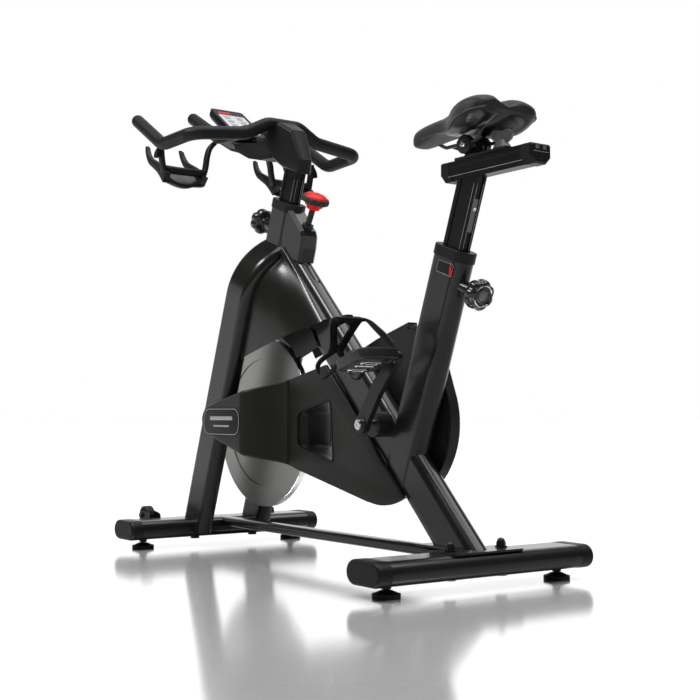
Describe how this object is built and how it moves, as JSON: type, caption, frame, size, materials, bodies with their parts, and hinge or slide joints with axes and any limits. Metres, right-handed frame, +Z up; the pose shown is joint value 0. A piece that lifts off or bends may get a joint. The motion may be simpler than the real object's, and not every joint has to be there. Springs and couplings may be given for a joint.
{
  "type": "exercise bike",
  "caption": "Indoor cycling bike: flywheel in a wishbone fork, belt drive, adjustable saddle and handlebar, toe-cage pedals, push brake and tablet console.",
  "frame": {"origin": "on the floor, at the middle of the bike's length and width", "axes": "+X to the front (handlebar end), +Y to the rider's left, +Z up"},
  "size_m": [1.2504, 0.53, 1.0949],
  "materials": {
    "frame_paint": "satin black powder coat",
    "guard_plastic": "satin moulded black plastic",
    "black_plastic": "fine-grain moulded black plastic",
    "bar_coat": "dipped matte black grip coat",
    "post_anodised": "black anodised extrusion",
    "dark_steel": "black oxide steel",
    "flywheel_steel": "machined satin steel",
    "bright_steel": "plated steel",
    "pedal_cast": "cast pedal, black",
    "belt_rubber": "ribbed belt rubber",
    "foot_rubber": "moulded rubber",
    "wheel_rubber": "moulded tyre",
    "saddle_cover": "soft grained saddle cover",
    "shell_plastic": "gloss black shell",
    "knob_plastic": "glossy black knob",
    "grey_plastic": "grey moulded plastic",
    "red_plastic": "glossy red plastic",
    "console_plastic": "gloss black bezel and screen"
  },
  "bodies": {
    "frame": {"main_beam": "frame_paint", "seat_tube": "frame_paint", "post_collars": "black_plastic", "head_tube": "frame_paint", "fork_left": "frame_paint", "fork_right": "frame_paint", "front_stabiliser": "frame_paint", "rear_stabiliser": "frame_paint", "stabiliser_caps": "black_plastic", "rear_base_plate": "dark_steel", "lower_beam": "frame_paint", "frame_fasteners": "dark_steel", "crank_housing": "dark_steel", "flywheel_hood": "guard_plastic", "left_guard": "guard_plastic", "drive_cover": "guard_plastic", "drive_cover_back": "guard_plastic", "flywheel_axle": "bright_steel", "drive_belt": "belt_rubber", "wheel_brackets": "dark_steel", "brake_fittings": "black_plastic"},
    "flywheel": {"flywheel": "flywheel_steel", "flywheel_hub": "bright_steel"},
    "crank": {"drive_pulley": "dark_steel", "crank_axle": "bright_steel", "left_crank": "dark_steel", "right_crank": "dark_steel", "crank_bolts": "bright_steel", "pedal_axles": "bright_steel"},
    "left_pedal": {"left_pedal": "pedal_cast", "left_toe_cage": "black_plastic"},
    "right_pedal": {"right_pedal": "pedal_cast", "right_toe_cage": "black_plastic"},
    "seat_post": {"seat_post": "post_anodised", "seat_slide_rail": "post_anodised", "slide_end_caps": "black_plastic"},
    "saddle_carriage": {"saddle_carriage": "dark_steel"},
    "saddle": {"saddle_rails": "dark_steel", "saddle_shell": "shell_plastic", "saddle_cushion": "saddle_cover"},
    "saddle_knob": {"saddle_knob": "grey_plastic"},
    "seat_post_pin": {"seat_post_pin": "bright_steel"},
    "seat_post_knob": {"seat_post_knob": "knob_plastic"},
    "handlebar_post": {"handlebar_post": "post_anodised", "stem_cover": "black_plastic", "handlebar": "bar_coat", "bottle_holders": "black_plastic", "console_bracket": "black_plastic", "console": "console_plastic"},
    "handlebar_post_pin": {"handlebar_post_pin": "bright_steel"},
    "handlebar_post_knob": {"handlebar_post_knob": "knob_plastic"},
    "brake_rod": {"brake_rod": "dark_steel"},
    "brake_knob": {"brake_knob": "red_plastic"},
    "brake_caliper": {"brake_caliper": "dark_steel"},
    "foot_front_left": {"foot_front_left": "foot_rubber"},
    "foot_front_right": {"foot_front_right": "foot_rubber"},
    "foot_rear_left": {"foot_rear_left": "foot_rubber"},
    "foot_rear_right": {"foot_rear_right": "foot_rubber"},
    "left_wheel": {"left_wheel": "wheel_rubber"},
    "right_wheel": {"right_wheel": "wheel_rubber"}
  },
  "joints": [
    {"name": "flywheel_spin", "type": "hinge", "parent": "frame", "child": "flywheel", "pos_m": [0.31275, 0, 0.3045], "axis": [0, 1, 0], "continuous": true},
    {"name": "crank_spin", "type": "hinge", "parent": "frame", "child": "crank", "pos_m": [-0.18725, 0, 0.304], "axis": [0, 1, 0], "continuous": true},
    {"name": "left_pedal_spin", "type": "hinge", "parent": "crank", "child": "left_pedal", "pos_m": [-0.29652, 0.084, 0.43423], "axis": [0, 1, 0], "continuous": true},
    {"name": "right_pedal_spin", "type": "hinge", "parent": "crank", "child": "right_pedal", "pos_m": [-0.07798, -0.084, 0.17377], "axis": [0, 1, 0], "continuous": true},
    {"name": "seat_post_slide", "type": "slide", "parent": "frame", "child": "seat_post", "axis": [-0.3486, 0, 0.9373], "range_m": [-0.09, 0.12]},
    {"name": "saddle_slide", "type": "slide", "parent": "seat_post", "child": "saddle_carriage", "axis": [1, 0, 0], "range_m": [-0.045, 0.035]},
    {"name": "saddle_tilt", "type": "hinge", "parent": "saddle_carriage", "child": "saddle", "pos_m": [-0.44425, 0, 0.838], "axis": [0, 1, 0], "range_deg": [-7, 9]},
    {"name": "saddle_knob_turn", "type": "hinge", "parent": "saddle_carriage", "child": "saddle_knob", "pos_m": [-0.52325, 0, 0.83], "axis": [0, 0, 1], "range_deg": [0, 540]},
    {"name": "seat_pin_pull", "type": "slide", "parent": "frame", "child": "seat_post_pin", "axis": [-0.9373, 0, -0.3486], "range_m": [0, 0.012], "stiffness_N_per_m": 900, "springref_m": -0.01},
    {"name": "seat_knob_turn", "type": "hinge", "parent": "seat_post_pin", "child": "seat_post_knob", "pos_m": [-0.45183, 0, 0.55284], "axis": [-0.9373, 0, -0.3486], "range_deg": [0, 360]},
    {"name": "handlebar_slide", "type": "slide", "parent": "frame", "child": "handlebar_post", "axis": [-0.3486, 0, 0.9373], "range_m": [-0.035, 0.09]},
    {"name": "handlebar_pin_pull", "type": "slide", "parent": "frame", "child": "handlebar_post_pin", "axis": [0.9373, 0, 0.3486], "range_m": [0, 0.012], "stiffness_N_per_m": 900, "springref_m": -0.01},
    {"name": "handlebar_knob_turn", "type": "hinge", "parent": "handlebar_post_pin", "child": "handlebar_post_knob", "pos_m": [0.32628, 0, 0.78763], "axis": [0.9373, 0, 0.3486], "range_deg": [0, 360]},
    {"name": "brake_push", "type": "slide", "parent": "frame", "child": "brake_rod", "axis": [0.4879, 0, -0.8729], "range_m": [0, 0.014], "stiffness_N_per_m": 1500, "springref_m": -0.012},
    {"name": "brake_knob_turn", "type": "hinge", "parent": "brake_rod", "child": "brake_knob", "pos_m": [0.10548, 0, 0.79687], "axis": [-0.4879, 0, 0.8729], "continuous": true},
    {"name": "caliper_swing", "type": "hinge", "parent": "frame", "child": "brake_caliper", "pos_m": [0.15475, 0, 0.536], "axis": [0, 1, 0], "range_deg": [0, 12]},
    {"name": "foot_front_left_turn", "type": "hinge", "parent": "frame", "child": "foot_front_left", "pos_m": [0.52925, 0.2115, 0.02], "axis": [0, 0, 1], "continuous": true},
    {"name": "foot_front_right_turn", "type": "hinge", "parent": "frame", "child": "foot_front_right", "pos_m": [0.52925, -0.2115, 0.02], "axis": [0, 0, 1], "continuous": true},
    {"name": "foot_rear_left_turn", "type": "hinge", "parent": "frame", "child": "foot_rear_left", "pos_m": [-0.44375, 0.2115, 0.02], "axis": [0, 0, 1], "continuous": true},
    {"name": "foot_rear_right_turn", "type": "hinge", "parent": "frame", "child": "foot_rear_right", "pos_m": [-0.44375, -0.2115, 0.02], "axis": [0, 0, 1], "continuous": true},
    {"name": "left_wheel_spin", "type": "hinge", "parent": "frame", "child": "left_wheel", "pos_m": [0.60275, 0.165, 0.072], "axis": [0, 1, 0], "continuous": true},
    {"name": "right_wheel_spin", "type": "hinge", "parent": "frame", "child": "right_wheel", "pos_m": [0.60275, -0.165, 0.072], "axis": [0, 1, 0], "continuous": true}
  ],
  "couplings": [
    {"joint": "crank_spin", "follows": "flywheel_spin", "ratio": 0.25},
    {"joint": "caliper_swing", "follows": "brake_push", "rad_per_m": 12}
  ]
}
